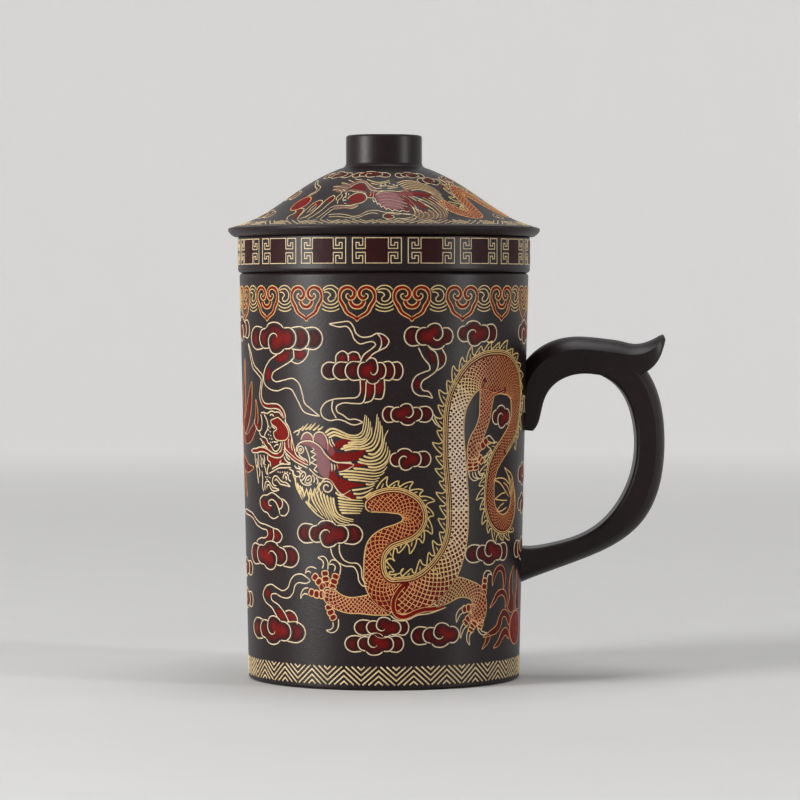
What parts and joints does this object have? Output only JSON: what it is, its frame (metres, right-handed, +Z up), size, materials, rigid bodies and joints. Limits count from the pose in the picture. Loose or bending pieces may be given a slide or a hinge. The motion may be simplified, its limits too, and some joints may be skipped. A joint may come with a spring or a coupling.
{
  "type": "tea mug",
  "caption": "Tapered clay tea mug with an ear handle, a lift-out strainer basket that hangs from the rim, and a domed lift-off lid.",
  "frame": {"origin": "on the mug's axis, on the plane that the foot ring stands on", "axes": "+Z up along the mug's axis, +X towards the handle, -Y towards the decorated front"},
  "size_m": [0.1211, 0.0864, 0.15],
  "materials": {
    "clay": "unglazed fine-grained dark stoneware, burnished to a soft satin",
    "gold_enamel": "thin matt gold-coloured line enamel, slightly raised",
    "red_enamel": "thin brick-red enamel wash between the gold lines"
  },
  "bodies": {
    "mug": {"mug_body": "clay", "handle": "clay"},
    "infuser": {"infuser_basket": "clay", "strainer_plate": "clay"},
    "lid": {"lid_dome": "clay", "lid_flange": "clay", "lid_knob": "clay"}
  },
  "joints": [
    {"name": "infuser_lift", "type": "slide", "parent": "mug", "child": "infuser", "axis": [0, 0, 1], "range_m": [0, 0.085]},
    {"name": "lid_lift", "type": "slide", "parent": "infuser", "child": "lid", "axis": [0, 0, 1], "range_m": [0, 0.06]}
  ]
}
